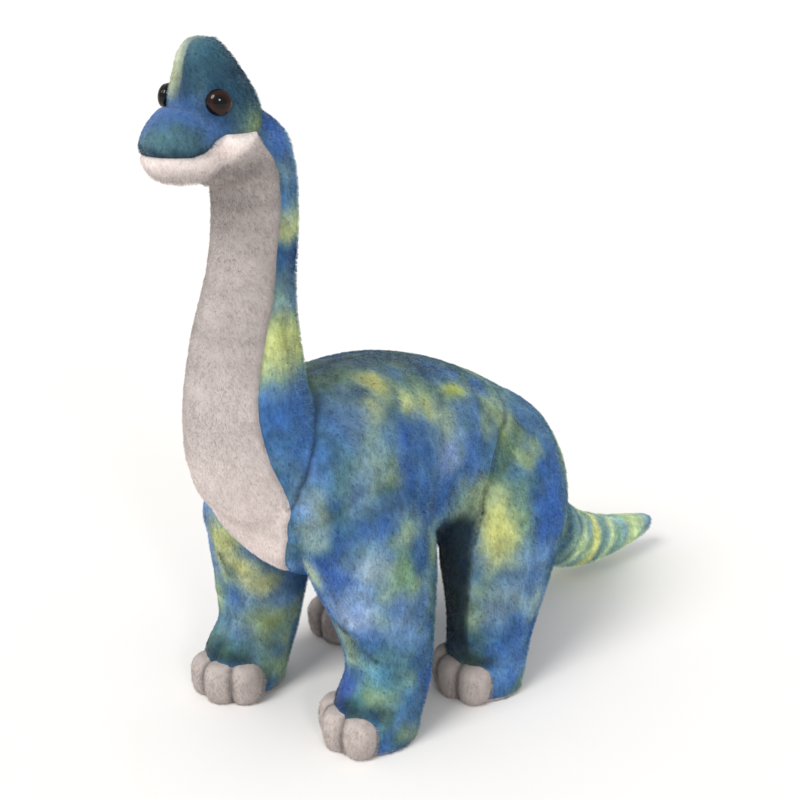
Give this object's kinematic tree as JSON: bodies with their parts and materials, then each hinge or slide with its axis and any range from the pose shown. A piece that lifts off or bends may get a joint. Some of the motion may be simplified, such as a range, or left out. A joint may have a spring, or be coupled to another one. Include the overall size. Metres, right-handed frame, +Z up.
{
  "type": "stuffed dinosaur",
  "caption": "Stuffed long-necked dinosaur that stands on four legs, sewn from plush panels over fibre filling, with plastic eyes and soft toes.",
  "frame": {"origin": "middle of the bounding box in x and y, on the level surface that the feet stand on", "axes": "+X to the dinosaur's left, +Y towards its tail, +Z up; the nose points to -Y"},
  "size_m": [0.1538, 0.4154, 0.38],
  "materials": {
    "blue_plush": "short plush pile dyed in soft patches of royal blue, navy, teal, green and yellow-green",
    "greige_plush": "short pinkish-grey plush pile, a little longer on the toes",
    "fibre_filling": "white loose polyester fibre",
    "eye_plastic": "glossy dark brown dome with a black centre",
    "washer_plastic": "matte white"
  },
  "bodies": {
    "torso": {"torso_filling": "fibre_filling", "chest_bib": "greige_plush", "belly_panel": "blue_plush", "flank_panel_left": "blue_plush", "flank_panel_right": "blue_plush", "hip_panel_left": "blue_plush", "hip_panel_right": "blue_plush"},
    "neck": {"neck_filling": "fibre_filling", "throat_panel": "greige_plush", "neck_panel_left": "blue_plush", "neck_panel_right": "blue_plush"},
    "head": {"head_filling": "fibre_filling", "head_panel_left": "blue_plush", "head_panel_right": "blue_plush", "snout_panel": "blue_plush", "jaw_panel": "greige_plush", "eye_left": "eye_plastic", "eye_right": "eye_plastic", "eye_washer_left": "washer_plastic", "eye_washer_right": "washer_plastic"},
    "tail": {"tail_filling": "fibre_filling", "tail_panel_left": "blue_plush", "tail_panel_right": "blue_plush"},
    "foreleg_left": {"foreleg_left_filling": "fibre_filling", "foreleg_left_outer_panel": "blue_plush", "foreleg_left_inner_panel": "blue_plush", "foreleg_left_toes": "greige_plush", "foreleg_left_sole": "greige_plush"},
    "foreleg_right": {"foreleg_right_filling": "fibre_filling", "foreleg_right_outer_panel": "blue_plush", "foreleg_right_inner_panel": "blue_plush", "foreleg_right_toes": "greige_plush", "foreleg_right_sole": "greige_plush"},
    "hindleg_left": {"hindleg_left_filling": "fibre_filling", "hindleg_left_outer_panel": "blue_plush", "hindleg_left_inner_panel": "blue_plush", "hindleg_left_toes": "greige_plush", "hindleg_left_sole": "greige_plush"},
    "hindleg_right": {"hindleg_right_filling": "fibre_filling", "hindleg_right_outer_panel": "blue_plush", "hindleg_right_inner_panel": "blue_plush", "hindleg_right_toes": "greige_plush", "hindleg_right_sole": "greige_plush"}
  },
  "joints": [
    {"name": "neck_bend", "type": "hinge", "parent": "torso", "child": "neck", "pos_m": [0, -0.1522, 0.203], "axis": [1, 0, 0], "range_deg": [-12, 12], "stiffness_Nm_per_rad": 1},
    {"name": "head_nod", "type": "hinge", "parent": "neck", "child": "head", "pos_m": [0, -0.1462, 0.326], "axis": [1, 0, 0], "range_deg": [-10, 10], "stiffness_Nm_per_rad": 0.5},
    {"name": "tail_swing", "type": "hinge", "parent": "torso", "child": "tail", "pos_m": [0.003, 0.0958, 0.052], "axis": [0, 0, 1], "range_deg": [-15, 15], "stiffness_Nm_per_rad": 0.4},
    {"name": "foreleg_left_swing", "type": "hinge", "parent": "torso", "child": "foreleg_left", "pos_m": [0.037, -0.1042, 0.1], "axis": [1, 0, 0], "range_deg": [-12, 12], "stiffness_Nm_per_rad": 0.8},
    {"name": "foreleg_right_swing", "type": "hinge", "parent": "torso", "child": "foreleg_right", "pos_m": [-0.037, -0.1042, 0.1], "axis": [1, 0, 0], "range_deg": [-12, 12], "stiffness_Nm_per_rad": 0.8},
    {"name": "hindleg_left_swing", "type": "hinge", "parent": "torso", "child": "hindleg_left", "pos_m": [0.043, 0.0038, 0.1], "axis": [1, 0, 0], "range_deg": [-12, 12], "stiffness_Nm_per_rad": 0.8},
    {"name": "hindleg_right_swing", "type": "hinge", "parent": "torso", "child": "hindleg_right", "pos_m": [-0.043, 0.0038, 0.1], "axis": [1, 0, 0], "range_deg": [-12, 12], "stiffness_Nm_per_rad": 0.8}
  ]
}
